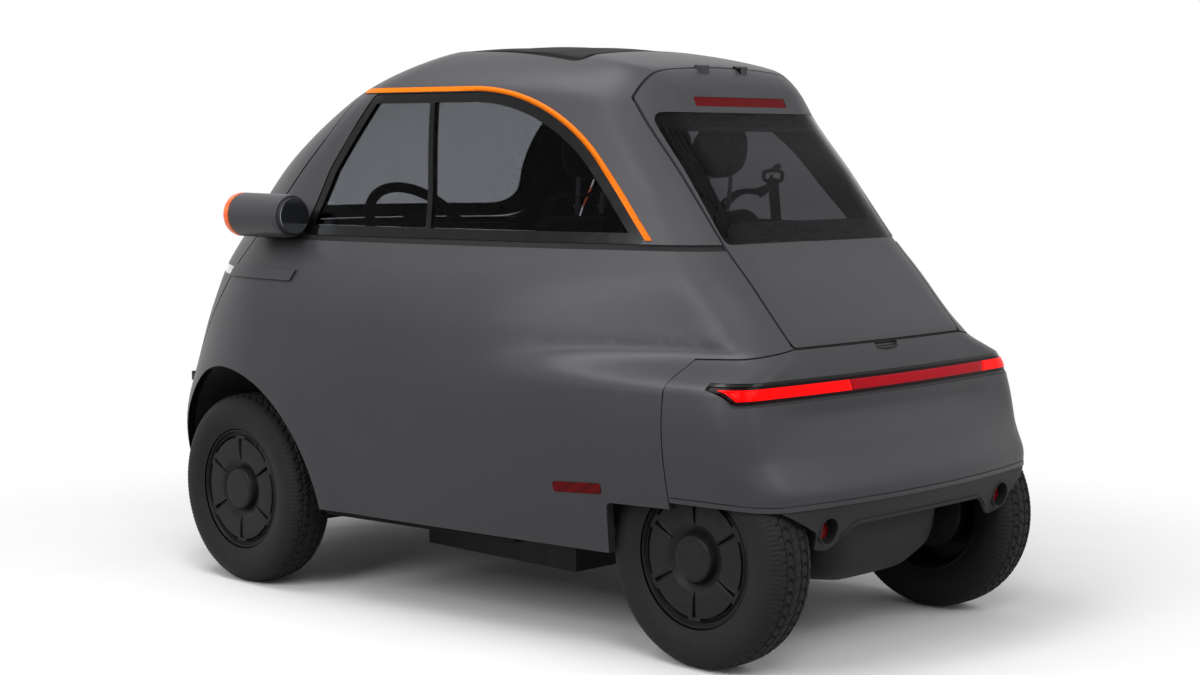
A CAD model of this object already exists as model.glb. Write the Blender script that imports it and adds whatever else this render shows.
"""Looks of a two-seat electric microcar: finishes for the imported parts, and the pieces
that the construction leaves to the eye, such as tread, wheel covers, upholstery and lamps.

Lengths are metres unless a name says mm. The car faces -Y, its left side is +X, +Z is up.
"""

import math

import bmesh
import bpy
from bpy.props import FloatProperty, FloatVectorProperty, IntProperty, PointerProperty
from bpy.types import Operator, Panel, PropertyGroup
from mathutils import Matrix, Vector
from mathutils.bvhtree import BVHTree


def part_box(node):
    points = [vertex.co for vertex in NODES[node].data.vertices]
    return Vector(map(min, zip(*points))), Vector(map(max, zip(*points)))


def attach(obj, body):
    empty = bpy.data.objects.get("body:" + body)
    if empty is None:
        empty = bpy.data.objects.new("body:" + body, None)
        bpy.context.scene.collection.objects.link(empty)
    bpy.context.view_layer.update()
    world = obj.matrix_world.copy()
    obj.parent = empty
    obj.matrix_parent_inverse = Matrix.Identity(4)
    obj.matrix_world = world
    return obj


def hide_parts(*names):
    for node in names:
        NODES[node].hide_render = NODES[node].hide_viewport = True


bl_info = {
    "name": "Microcar looks",
    "version": (1, 0, 0),
    "blender": (4, 5, 0),
    "location": "3D View > Sidebar > Microcar",
    "description": "Finishes, wheels, upholstery, lamps and trim of a two-seat electric microcar",
    "category": "Object",
}

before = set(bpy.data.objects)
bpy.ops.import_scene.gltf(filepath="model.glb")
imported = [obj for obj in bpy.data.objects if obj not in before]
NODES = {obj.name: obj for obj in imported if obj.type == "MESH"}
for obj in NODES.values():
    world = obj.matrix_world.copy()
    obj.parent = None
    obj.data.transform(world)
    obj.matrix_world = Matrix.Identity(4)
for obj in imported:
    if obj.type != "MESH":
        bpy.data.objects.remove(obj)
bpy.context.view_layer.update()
MM = 0.001

WHEELS = {
    "front_left": (1, Vector((0.6175, -0.6095, 0.266))),
    "front_right": (-1, Vector((-0.6175, -0.6095, 0.266))),
    "rear_left": (1, Vector((0.4625, 0.9565, 0.266))),
    "rear_right": (-1, Vector((-0.4625, 0.9565, 0.266))),
}
LINED = ("roof_shell", "body_side_left", "body_side_right", "door_shell", "tailgate_shell", "window_frames")
POD = Vector((0.700, -0.556, 1.040))
HATCH_FOOT = 0.751
STEERING_CENTRE = Vector((0.300, -0.258, 0.985))
STEERING_TILT = math.radians(40.0)
STEERING_R = 0.164
WEBBING_WIDTH = 0.046
WEBBING_THICK = 0.0022
LENS_LOW = 0.6487
LENS_HIGH = 0.6735
COIL_R = 0.0415
FLOOR_TOP = 0.2482
LUGGAGE_TOP = 0.5782


def srgb(text):
    """A hex colour as linear RGBA."""
    channels = [int(text[i:i + 2], 16) / 255 for i in (1, 3, 5)]
    return tuple(c / 12.92 if c <= 0.04045 else ((c + 0.055) / 1.055) ** 2.4 for c in channels) + (1.0,)


def add_node(tree, kind, settings=None, sockets=None, links=None):
    """Adds a node. Settings are its attributes, sockets its constants, and links maps an
    input to (node, output)."""
    made = tree.nodes.new(kind)
    for name, value in (settings or {}).items():
        setattr(made, name, value)
    for name, value in (sockets or {}).items():
        made.inputs[name].default_value = value
    for name, (source, output) in (links or {}).items():
        tree.links.new(source.outputs[output], made.inputs[name])
    return made


def new_finish(name, sockets):
    """A material with one surface shader, and its constants on that shader's sockets."""
    made = bpy.data.materials.new(name)
    made.use_nodes = True
    tree = made.node_tree
    tree.nodes.clear()
    shader = add_node(tree, "ShaderNodeBsdfPrincipled", sockets=sockets)
    add_node(tree, "ShaderNodeOutputMaterial", links={"Surface": (shader, "BSDF")})
    return made, tree, shader


def place(tree, scale=(1.0, 1.0, 1.0), turn=(0.0, 0.0, 0.0)):
    """Where a point is on the piece, in metres times scale."""
    where = add_node(tree, "ShaderNodeTexCoord")
    return add_node(tree, "ShaderNodeMapping", sockets={"Scale": scale, "Rotation": turn},
                    links={"Vector": (where, "Object")})


def rays_that_see(tree):
    """1 for the rays that show the background: camera, glossy and transmission rays; 0 for light."""
    path = add_node(tree, "ShaderNodeLightPath")
    either = add_node(tree, "ShaderNodeMath", settings={"operation": "MAXIMUM"},
                      links={0: (path, "Is Camera Ray"), 1: (path, "Is Glossy Ray")})
    return add_node(tree, "ShaderNodeMath", settings={"operation": "MAXIMUM"},
                    links={0: (either, "Value"), 1: (path, "Is Transmission Ray")})


def grain(tree, size_mm, detail=3.0, roughness=0.5, stretch=(1.0, 1.0, 1.0)):
    """Noise whose grains are size_mm across."""
    at = place(tree, scale=stretch)
    return add_node(tree, "ShaderNodeTexNoise",
                    sockets={"Scale": 1000.0 / size_mm, "Detail": detail, "Roughness": roughness},
                    links={"Vector": (at, "Vector")})


def two_tones(tree, shader, source, output, dark, light, low=0.3, high=0.7):
    """Lets a pattern move the base colour between two near tones."""
    ramp = add_node(tree, "ShaderNodeValToRGB", links={"Fac": (source, output)})
    ramp.color_ramp.elements[0].position = low
    ramp.color_ramp.elements[0].color = srgb(dark)
    ramp.color_ramp.elements[1].position = high
    ramp.color_ramp.elements[1].color = srgb(light)
    tree.links.new(ramp.outputs["Color"], shader.inputs["Base Color"])
    return ramp


def rough_between(tree, shader, source, output, low, high):
    """Lets a pattern move the roughness between two values."""
    span = add_node(tree, "ShaderNodeMapRange", sockets={"To Min": low, "To Max": high},
                    links={"Value": (source, output)})
    tree.links.new(span.outputs["Result"], shader.inputs["Roughness"])


def relief(tree, shader, source, output, height_mm, strength=0.6):
    """Lets a pattern raise the surface by height_mm."""
    bump = add_node(tree, "ShaderNodeBump", sockets={"Strength": strength, "Distance": height_mm * MM},
                    links={"Height": (source, output)})
    tree.links.new(bump.outputs["Normal"], shader.inputs["Normal"])
    return bump


def weave(tree, thread_mm, turn=(0.0, 0.0, 0.0)):
    """Crossing threads thread_mm apart, as the larger of two waves."""
    at = place(tree, turn=turn)
    waves = []
    for direction in ("X", "Y"):
        waves.append(add_node(tree, "ShaderNodeTexWave",
                              settings={"wave_type": "BANDS", "bands_direction": direction},
                              sockets={"Scale": 1000.0 / thread_mm / 6.2832 * 2.0, "Distortion": 0.4,
                                       "Detail": 1.0, "Detail Scale": 2.0},
                              links={"Vector": (at, "Vector")}))
    return add_node(tree, "ShaderNodeMath", settings={"operation": "MULTIPLY"},
                    links={0: (waves[0], "Fac"), 1: (waves[1], "Fac")})


def satin_lacquered_steel(colour):
    """Pressed steel under a satin lacquer: a broad soft highlight and a trace of flake."""
    made, tree, shader = new_finish("satin_lacquered_steel",
                                    {"Metallic": 0.3, "IOR": 1.45, "Specular IOR Level": 0.2,
                                     "Coat Weight": 0.03, "Coat Roughness": 0.4})
    # Flake is far finer than a pixel, so it is drawn at 1.6 mm.
    flake = grain(tree, 1.6, detail=2.0)
    drift = grain(tree, 380.0, detail=1.0)
    mixed = add_node(tree, "ShaderNodeMix", settings={"data_type": "FLOAT"}, sockets={"Factor": 0.35},
                     links={2: (flake, "Fac"), 3: (drift, "Fac")})
    light = [min(1.0, c * 1.07) for c in colour]
    dark = [c * 0.93 for c in colour]
    ramp = add_node(tree, "ShaderNodeValToRGB", links={"Fac": (mixed, 0)})
    ramp.color_ramp.elements[0].position = 0.35
    ramp.color_ramp.elements[0].color = (*dark[:3], 1.0)
    ramp.color_ramp.elements[1].position = 0.65
    ramp.color_ramp.elements[1].color = (*light[:3], 1.0)
    tree.links.new(ramp.outputs["Color"], shader.inputs["Base Color"])
    rough_between(tree, shader, drift, "Fac", 0.38, 0.46)
    peel = grain(tree, 5.0, detail=1.0)
    relief(tree, shader, peel, "Fac", 0.02, 0.25)
    return made


def orange_lacquered_trim(colour):
    """Moulded trim under orange lacquer: smooth, with a slight orange-peel ripple."""
    made, tree, shader = new_finish("orange_lacquered_trim",
                                    {"IOR": 1.45, "Specular IOR Level": 0.15,
                                     "Coat Weight": 0.02, "Coat Roughness": 0.3})
    ripple = grain(tree, 6.0, detail=2.0)
    ramp = add_node(tree, "ShaderNodeValToRGB", links={"Fac": (ripple, "Fac")})
    ramp.color_ramp.elements[0].color = (*[c * 0.92 for c in colour[:3]], 1.0)
    ramp.color_ramp.elements[1].color = (*[min(1.0, c * 1.05) for c in colour[:3]], 1.0)
    tree.links.new(ramp.outputs["Color"], shader.inputs["Base Color"])
    rough_between(tree, shader, ripple, "Fac", 0.42, 0.52)
    relief(tree, shader, ripple, "Fac", 0.03, 0.3)
    return made


def grained_black_abs():
    """Moulded ABS with a leather grain: dull black that greys at its edges."""
    made, tree, shader = new_finish("grained_black_abs", {"IOR": 1.53, "Specular IOR Level": 0.2})
    # Moulded grain is about 0.8 mm; it is drawn at 2 mm so that it shows.
    at = place(tree)
    cells = add_node(tree, "ShaderNodeTexVoronoi", settings={"feature": "DISTANCE_TO_EDGE"},
                     sockets={"Scale": 1000.0 / 2.0, "Randomness": 1.0}, links={"Vector": (at, "Vector")})
    soil = grain(tree, 90.0, detail=4.0)
    two_tones(tree, shader, soil, "Fac", "#1F1F20", "#2B2B2C")
    rough_between(tree, shader, soil, "Fac", 0.52, 0.66)
    relief(tree, shader, cells, "Distance", 0.12, 0.35)
    return made


def gloss_black_pmma():
    """Polished black acrylic: deep black with sharp reflections and faint polishing haze."""
    made, tree, shader = new_finish("gloss_black_pmma", {"IOR": 1.49, "Specular IOR Level": 0.15,
                                                       "Coat Weight": 0.08, "Coat Roughness": 0.06})
    haze = grain(tree, 40.0, detail=5.0)
    two_tones(tree, shader, haze, "Fac", "#0B0B0C", "#131314")
    rough_between(tree, shader, haze, "Fac", 0.12, 0.24)
    return made


def extruded_rubber():
    """Extruded EPDM seal: matt black with drawn lines along it."""
    made, tree, shader = new_finish("extruded_rubber", {"IOR": 1.52, "Specular IOR Level": 0.2})
    lines = grain(tree, 3.0, detail=2.0, stretch=(0.15, 0.15, 1.0))
    two_tones(tree, shader, lines, "Fac", "#161617", "#202021")
    rough_between(tree, shader, lines, "Fac", 0.6, 0.8)
    relief(tree, shader, lines, "Fac", 0.05, 0.3)
    return made


def moulded_tyre_rubber():
    """Vulcanised rubber: charcoal, dull on the tread and a little glossier on the wall."""
    made, tree, shader = new_finish("moulded_tyre_rubber", {"IOR": 1.52, "Specular IOR Level": 0.2})
    dust = grain(tree, 30.0, detail=6.0, roughness=0.65)
    pores = grain(tree, 2.5, detail=2.0)
    two_tones(tree, shader, dust, "Fac", "#171617", "#232222")
    rough_between(tree, shader, dust, "Fac", 0.58, 0.82)
    relief(tree, shader, pores, "Fac", 0.12, 0.35)
    return made


def satin_black_wheel_lacquer():
    """Moulded wheel cover under satin black lacquer: even sheen with brake dust in it."""
    made, tree, shader = new_finish("satin_black_wheel_lacquer", {"IOR": 1.5, "Specular IOR Level": 0.12,
                                                                "Coat Weight": 0.05, "Coat Roughness": 0.4})
    dust = grain(tree, 25.0, detail=6.0)
    two_tones(tree, shader, dust, "Fac", "#1A1A1B", "#242323")
    rough_between(tree, shader, dust, "Fac", 0.38, 0.52)
    fine = grain(tree, 2.0, detail=2.0)
    relief(tree, shader, fine, "Fac", 0.02, 0.3)
    return made


def red_acrylic(name, glow, dark, light):
    """Moulded red acrylic over lamps: saturated, glossy, with upright flutes inside."""
    made, tree, shader = new_finish(name, {"IOR": 1.49, "Specular IOR Level": 0.06, "Coat Weight": 0.02,
                                           "Coat Roughness": 0.05, "Emission Strength": glow})
    at = place(tree)
    # Light-guide flutes at a 6 mm pitch.
    flutes = add_node(tree, "ShaderNodeTexWave", settings={"wave_type": "BANDS", "bands_direction": "X"},
                      sockets={"Scale": 1000.0 / 6.0 / 6.2832 * 2.0}, links={"Vector": (at, "Vector")})
    ramp = two_tones(tree, shader, flutes, "Fac", dark, light, 0.0, 1.0)
    tree.links.new(ramp.outputs["Color"], shader.inputs["Emission Color"])
    rough_between(tree, shader, flutes, "Fac", 0.12, 0.2)
    relief(tree, shader, flutes, "Fac", 0.25, 0.25)
    return made


def toughened_glass(name, tint, roughness=0.0):
    """Toughened glass tinted in the mass, with a slow roller wave. Its index is set low to mirror little."""
    made, tree, shader = new_finish(name, {"Base Color": srgb(tint), "Roughness": roughness, "IOR": 1.12,
                                           "Transmission Weight": 1.0})
    wave = grain(tree, 160.0, detail=0.0)
    relief(tree, shader, wave, "Fac", 0.05, 0.08)
    return made


def clear_polycarbonate():
    """Moulded clear polycarbonate lamp lens: water-clear and hard-coated."""
    made, tree, shader = new_finish("clear_polycarbonate", {"Base Color": srgb("#F4F6F8"), "IOR": 1.58,
                                                            "Transmission Weight": 0.85, "Coat Weight": 0.5,
                                                            "Coat Roughness": 0.03})
    optic = grain(tree, 9.0, detail=0.0)
    rough_between(tree, shader, optic, "Fac", 0.03, 0.12)
    return made


def amber_lens():
    """Orange moulded ring round the front lamp: bright, glossy, lit through."""
    made, tree, shader = new_finish("orange_moulded_ring", {"IOR": 1.5, "Emission Strength": 0.25,
                                                            "Coat Weight": 0.3, "Coat Roughness": 0.15})
    cloud = grain(tree, 14.0, detail=3.0)
    ramp = two_tones(tree, shader, cloud, "Fac", "#E8520A", "#F8701A")
    tree.links.new(ramp.outputs["Color"], shader.inputs["Emission Color"])
    rough_between(tree, shader, cloud, "Fac", 0.25, 0.36)
    return made


def silvered_glass():
    """Silvered mirror glass: a clean reflection with a faint smear."""
    made, tree, shader = new_finish("silvered_glass", {"Base Color": srgb("#A4A8AC"), "Metallic": 1.0})
    smear = grain(tree, 30.0, detail=3.0)
    rough_between(tree, shader, smear, "Fac", 0.02, 0.06)
    return made


def woven_seat_cloth():
    """Woven polyester seat cloth: charcoal, soft sheen, threads 1.2 mm apart drawn at 3 mm."""
    made, tree, shader = new_finish("woven_seat_cloth", {"IOR": 1.45, "Specular IOR Level": 0.2,
                                                       "Sheen Weight": 0.2, "Sheen Roughness": 0.5})
    threads = weave(tree, 3.0)
    two_tones(tree, shader, threads, 0, "#1C1D1F", "#3A3B3D", 0.0, 0.8)
    wear = grain(tree, 60.0, detail=4.0)
    rough_between(tree, shader, wear, "Fac", 0.78, 0.95)
    relief(tree, shader, threads, 0, 0.4, 0.5)
    return made


def coated_roof_canvas():
    """Acrylic roof canvas: matt black with a fine plain weave drawn at 2.4 mm."""
    made, tree, shader = new_finish("coated_roof_canvas", {"IOR": 1.4, "Specular IOR Level": 0.2,
                                                         "Sheen Weight": 0.04, "Sheen Roughness": 0.5})
    threads = weave(tree, 2.4)
    two_tones(tree, shader, threads, 0, "#131314", "#212122", 0.0, 0.9)
    fade = grain(tree, 120.0, detail=3.0)
    rough_between(tree, shader, fade, "Fac", 0.8, 0.95)
    relief(tree, shader, threads, 0, 0.25, 0.45)
    return made


def belt_webbing():
    """Woven polyester webbing: black ribs across the strap, 1.6 mm apart."""
    made, tree, shader = new_finish("belt_webbing", {"IOR": 1.5, "Specular IOR Level": 0.2,
                                                     "Sheen Weight": 0.1})
    at = place(tree)
    ribs = add_node(tree, "ShaderNodeTexWave", settings={"wave_type": "BANDS", "bands_direction": "Z"},
                    sockets={"Scale": 1000.0 / 1.6 / 6.2832}, links={"Vector": (at, "Vector")})
    two_tones(tree, shader, ribs, "Fac", "#101011", "#1E1E20", 0.0, 1.0)
    relief(tree, shader, ribs, "Fac", 0.3, 0.5)
    shader.inputs["Roughness"].default_value = 0.75
    return made


def electrocoated_steel():
    """Chassis steel under electrocoat: semi-matt black with road dust in the corners."""
    made, tree, shader = new_finish("electrocoated_steel", {"IOR": 1.5, "Specular IOR Level": 0.2})
    dust = grain(tree, 45.0, detail=6.0, roughness=0.6)
    two_tones(tree, shader, dust, "Fac", "#141414", "#252423")
    rough_between(tree, shader, dust, "Fac", 0.42, 0.7)
    skin = grain(tree, 3.0)
    relief(tree, shader, skin, "Fac", 0.08, 0.3)
    return made


def sand_cast_aluminium():
    """Sand-cast aluminium: grey, grainy, broken highlights."""
    made, tree, shader = new_finish("sand_cast_aluminium", {"Metallic": 1.0})
    sand = grain(tree, 2.0, detail=4.0)
    two_tones(tree, shader, sand, "Fac", "#7C7D7E", "#A2A3A4")
    rough_between(tree, shader, sand, "Fac", 0.45, 0.62)
    relief(tree, shader, sand, "Fac", 0.3, 0.5)
    return made


def zinc_plated_steel():
    """Zinc-plated steel: pale blue-grey, brushed along its length."""
    made, tree, shader = new_finish("zinc_plated_steel", {"Metallic": 1.0})
    brush = grain(tree, 1.5, detail=3.0, stretch=(1.0, 1.0, 0.1))
    two_tones(tree, shader, brush, "Fac", "#8E9296", "#B4B8BC")
    rough_between(tree, shader, brush, "Fac", 0.28, 0.42)
    return made


def sprayed_underseal():
    """Sprayed underseal: black, pebbled, dead matt."""
    made, tree, shader = new_finish("sprayed_underseal", {"IOR": 1.5, "Specular IOR Level": 0.2})
    pebbles = grain(tree, 5.0, detail=3.0)
    two_tones(tree, shader, pebbles, "Fac", "#121212", "#1E1D1D")
    rough_between(tree, shader, pebbles, "Fac", 0.75, 0.92)
    relief(tree, shader, pebbles, "Fac", 0.8, 0.6)
    return made


def tufted_carpet():
    """Tufted floor carpet: near-black pile, very rough."""
    made, tree, shader = new_finish("tufted_carpet", {"IOR": 1.45, "Specular IOR Level": 0.1,
                                                      "Sheen Weight": 0.1})
    tufts = grain(tree, 4.0, detail=4.0, roughness=0.7)
    two_tones(tree, shader, tufts, "Fac", "#151516", "#2A2A2C")
    shader.inputs["Roughness"].default_value = 0.95
    relief(tree, shader, tufts, "Fac", 1.5, 0.7)
    return made


def moulded_lining():
    """Moulded felt lining on the inside of the panels: near black, dead matt."""
    made, tree, shader = new_finish("moulded_lining", {"IOR": 1.4, "Specular IOR Level": 0.05})
    felt = grain(tree, 3.0, detail=5.0, roughness=0.7)
    two_tones(tree, shader, felt, "Fac", "#0B0B0C", "#151517")
    rough_between(tree, shader, felt, "Fac", 0.85, 0.97)
    relief(tree, shader, felt, "Fac", 0.4, 0.5)
    return made


def led_reflector():
    """Metallised lamp reflector with small facets."""
    made, tree, shader = new_finish("led_reflector", {"Base Color": srgb("#E8EAEC"), "Metallic": 1.0})
    at = place(tree)
    facets = add_node(tree, "ShaderNodeTexVoronoi", sockets={"Scale": 1000.0 / 7.0},
                      links={"Vector": (at, "Vector")})
    rough_between(tree, shader, facets, "Distance", 0.08, 0.22)
    relief(tree, shader, facets, "Distance", 0.6, 0.5)
    return made


FINISHES = {}


def finish(name):
    """The material kept under a short name."""
    return FINISHES[name]


def add_piece(name, bm, material, body, sharp=35.0):
    """Turns a bmesh into a piece that rides on a body."""
    bmesh.ops.recalc_face_normals(bm, faces=bm.faces)
    mesh = bpy.data.meshes.new(name)
    bm.to_mesh(mesh)
    bm.free()
    mesh.materials.append(material)
    for face in mesh.polygons:
        face.use_smooth = True
    mesh.set_sharp_from_angle(angle=math.radians(sharp))
    made = bpy.data.objects.new(name, mesh)
    bpy.context.scene.collection.objects.link(made)
    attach(made, body)
    return made


def add_grid(bm, rows, close_rows=False, close_columns=False):
    """Joins rows of points as a net of quads, and returns its vertices."""
    verts = [[bm.verts.new(p) for p in row] for row in rows]
    count = len(verts)
    across = len(verts[0])
    for i in range(count if close_rows else count - 1):
        for j in range(across if close_columns else across - 1):
            a = verts[i][j]
            b = verts[i][(j + 1) % across]
            c = verts[(i + 1) % count][(j + 1) % across]
            d = verts[(i + 1) % count][j]
            if len({a, b, c, d}) == 4:
                bm.faces.new((a, b, c, d))
    return verts


def add_lathe(bm, profile, place_at, steps=72, closed=False):
    """Turns (along, radius) points about place_at's X axis."""
    rows = []
    for i in range(steps):
        a = 2 * math.pi * i / steps
        rows.append([place_at @ Vector((x, r * math.cos(a), r * math.sin(a))) for x, r in profile])
    return add_grid(bm, rows, close_rows=True, close_columns=closed)


def smooth_path(points, steps=8, closed=False):
    """Catmull-Rom curve through the points."""
    pts = [Vector(p) for p in points]
    count = len(pts)
    result = []
    spans = count if closed else count - 1
    for i in range(spans):
        p1 = pts[i]
        p2 = pts[(i + 1) % count]
        p0 = pts[i - 1] if (i > 0 or closed) else p1 * 2 - p2
        p3 = pts[(i + 2) % count] if (i + 2 < count or closed) else p2 * 2 - p1
        for k in range(steps):
            t = k / steps
            result.append(0.5 * ((2 * p1) + (p2 - p0) * t + (2 * p0 - 5 * p1 + 4 * p2 - p3) * t * t
                                 + (3 * p1 - p0 - 3 * p2 + p3) * t ** 3))
    if not closed:
        result.append(pts[-1])
    return result


def add_tube(bm, path, radius, sides=10, closed=False, flat=1.0, up=None):
    """A tube along a path. flat squeezes it against the up direction."""
    count = len(path)
    guide = Vector(up) if up else Vector((0.13, 0.21, 0.97))
    rows = []
    for i in range(count):
        before = path[i - 1] if (i > 0 or closed) else path[i]
        after = path[(i + 1) % count] if (i + 1 < count or closed) else path[i]
        along = (after - before).normalized()
        across = along.cross(guide).normalized()
        out = across.cross(along).normalized()
        row = []
        for k in range(sides):
            a = 2 * math.pi * k / sides
            row.append(path[i] + across * (radius * math.cos(a)) + out * (radius * flat * math.sin(a)))
        rows.append(row)
    verts = add_grid(bm, rows, close_rows=closed, close_columns=True)
    if not closed:
        bm.faces.new(verts[0][::-1])
        bm.faces.new(verts[-1])
    return verts


def add_block(bm, centre, size, bevel=0.0, turn=None, segments=2):
    """A box with rounded edges."""
    made = bmesh.ops.create_cube(bm, size=1.0)["verts"]
    bmesh.ops.scale(bm, vec=size, verts=made)
    if bevel > 0:
        # A dict keeps the edges in one order, where a set would change it from run to run.
        edges = list(dict.fromkeys(e for v in made for e in v.link_edges))
        made = bmesh.ops.bevel(bm, geom=edges, offset=bevel, segments=segments, affect="EDGES",
                               profile=0.5)["verts"]
    if turn is not None:
        bmesh.ops.transform(bm, matrix=turn, verts=made)
    bmesh.ops.translate(bm, vec=centre, verts=made)
    return made


def add_strap(bm, points, width, thick, face_to, steps=10):
    """Flat webbing along a path, with its face towards face_to."""
    path = smooth_path(points, steps)
    rows = []
    for i, p in enumerate(path):
        along = (path[min(i + 1, len(path) - 1)] - path[max(i - 1, 0)]).normalized()
        across = along.cross(Vector(face_to)).normalized()
        out = across.cross(along).normalized()
        half = across * (width / 2)
        rise = out * (thick / 2)
        rows.append([p - half - rise * 0.4, p - half * 0.9 - rise, p - rise, p + half * 0.9 - rise,
                     p + half - rise * 0.4, p + half + rise * 0.4, p + half * 0.9 + rise, p + rise,
                     p - half * 0.9 + rise, p - half + rise * 0.4])
    verts = add_grid(bm, rows, close_columns=True)
    bm.faces.new(verts[0][::-1])
    bm.faces.new(verts[-1])


def surface_of(*names):
    """Search trees of CAD nodes, for setting trim on them."""
    trees = []
    for name in names:
        mesh = NODES[name].data
        points = [v.co.copy() for v in mesh.vertices]
        faces = [tuple(p.vertices) for p in mesh.polygons]
        trees.append(BVHTree.FromPolygons(points, faces))
    return trees


def hit(trees, start, direction):
    """Nearest hit of a ray on any of the trees, as (point, normal), or None."""
    best = None
    for tree in trees:
        point, normal, _, distance = tree.ray_cast(Vector(start), Vector(direction))
        if point is not None and (best is None or distance < best[2]):
            best = (point, normal, distance)
    return best[:2] if best else None


def rounded_path(corners, radius, steps=6):
    """Closed outline in a plane with rounded corners, as (a, b) pairs."""
    result = []
    count = len(corners)
    for i, corner in enumerate(corners):
        c = Vector(corner)
        to_before = (Vector(corners[i - 1]) - c).normalized()
        to_after = (Vector(corners[(i + 1) % count]) - c).normalized()
        half = to_before.angle(to_after) / 2
        cut = radius / math.tan(half)
        a = c + to_before * cut
        b = c + to_after * cut
        for k in range(steps + 1):
            t = k / steps
            result.append(a.lerp(c, t).lerp(c.lerp(b, t), t))
    return result


def recess(bm, towards, rim, depth):
    """Sinks the largest face that looks a given way and leaves a rim round it."""
    bm.normal_update()
    face = max((f for f in bm.faces if f.normal.dot(towards) > 0.9), key=lambda f: f.calc_area())
    bmesh.ops.inset_region(bm, faces=[face], thickness=rim, depth=-depth)


class MicrocarFinishSettings(PropertyGroup):
    """Colours that a user may change."""
    body_colour: FloatVectorProperty(name="Body colour", description="Satin lacquer of the body panels",
                                     subtype="COLOR", size=3, min=0.0, max=1.0, default=srgb("#444447")[:3])
    trim_colour: FloatVectorProperty(name="Trim colour", description="Lacquer of the side window strips",
                                     subtype="COLOR", size=3, min=0.0, max=1.0, default=srgb("#F87A00")[:3])


class MicrocarWheelSettings(PropertyGroup):
    """Sizes of the tyres' tread and of the wheel covers."""
    tread_depth: FloatProperty(name="Tread depth", description="Depth of the tyre's grooves",
                               unit="LENGTH", min=0.002, max=0.009, default=0.0065)
    tread_pitches: IntProperty(name="Tread pitches", description="Shoulder blocks round the tyre",
                               min=30, max=80, default=56)
    cap_radius: FloatProperty(name="Cap radius", description="Radius of the raised cap of the wheel cover",
                              unit="LENGTH", min=0.04, max=0.07, default=0.056)


class MicrocarSeatSettings(PropertyGroup):
    """Upholstery."""
    channel_depth: FloatProperty(name="Channel depth", description="Depth of the sewn channels",
                                 unit="LENGTH", min=0.0, max=0.012, default=0.006)


class MICROCAR_OT_finishes(Operator):
    """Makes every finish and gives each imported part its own"""
    bl_idname = "microcar.finishes"
    bl_label = "Finishes"

    def execute(self, context):
        colours = context.scene.microcar_finish
        FINISHES.update({
            "paint": satin_lacquered_steel(tuple(colours.body_colour)),
            "orange": orange_lacquered_trim(tuple(colours.trim_colour)),
            "abs": grained_black_abs(),
            "gloss": gloss_black_pmma(),
            "rubber": extruded_rubber(),
            "tyre": moulded_tyre_rubber(),
            "cover": satin_black_wheel_lacquer(),
            "red_bright": red_acrylic("lit_red_acrylic", 0.95, "#E80000", "#F80202"),
            "red_middle": red_acrylic("half_lit_red_acrylic", 0.36, "#9A0012", "#A80216"),
            "red_dark": red_acrylic("unlit_red_acrylic", 0.04, "#560205", "#700408"),
            "smoked": red_acrylic("smoked_red_acrylic", 0.02, "#16060A", "#240A10"),
            "side_glass": toughened_glass("tinted_side_glass", "#76767C"),
            "rear_glass": toughened_glass("tinted_rear_glass", "#8A8A8C"),
            "screen": toughened_glass("laminated_screen_glass", "#D6DCDA"),
            "clear": clear_polycarbonate(),
            "amber": amber_lens(),
            "mirror": silvered_glass(),
            "seat": woven_seat_cloth(),
            "canvas": coated_roof_canvas(),
            "webbing": belt_webbing(),
            "chassis": electrocoated_steel(),
            "cast": sand_cast_aluminium(),
            "zinc": zinc_plated_steel(),
            "underseal": sprayed_underseal(),
            "carpet": tufted_carpet(),
            "lining": moulded_lining(),
            "reflector": led_reflector(),
        })
        chosen = {
            "paint": ["body_side_left", "body_side_right", "rear_bumper", "roof_shell", "door_shell",
                      "tailgate_shell", "lamp_pods", "fender_trims"],
            "orange": ["window_strips"],
            "abs": ["wheel_liners", "front_valance", "rear_skirt", "door_bar", "seat_base",
                    "steering_column", "steering_wheel"],
            "gloss": ["window_frames", "tail_lamp_bezel"],
            "rubber": ["belt_strips"],
            "smoked": ["tail_lamp"],
            "red_dark": ["high_brake_lamp", "reflectors"],
            "side_glass": ["side_glass"],
            "rear_glass": ["rear_glass"],
            "screen": ["windscreen"],
            "clear": ["front_lamp_bar"],
            "amber": ["pod_lenses"],
            "mirror": ["mirror_faces"],
            "seat": ["seat_cushion", "seat_backrest"],
            "canvas": ["folding_roof"],
            "chassis": ["front_suspension", "rear_suspension", "battery", "knuckle_left", "knuckle_right"],
            "cast": ["drive_unit"],
            "underseal": ["floor_pan"],
            "cover": ["wheel_" + w for w in WHEELS],
            "tyre": ["tyre_" + w for w in WHEELS],
        }
        dressed = set()
        for key, names in chosen.items():
            for name in names:
                NODES[name].data.materials.clear()
                NODES[name].data.materials.append(finish(key))
                dressed.add(name)
        heart = Vector((0.0, 0.0, 0.85))
        for name in LINED:
            mesh = NODES[name].data
            mesh.materials.append(finish("lining"))
            for face in mesh.polygons:
                face.material_index = 1 if face.normal.dot(face.center - heart) < 0 else 0
        bare = sorted(set(NODES) - dressed)
        if bare:
            raise RuntimeError("packed parts with no finish: " + ", ".join(bare))
        return {"FINISHED"}


# Radii in mm of the two raised lines round a tyre's wall.
RIB_R = 233.0
BEAD_R = 190.0


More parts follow.
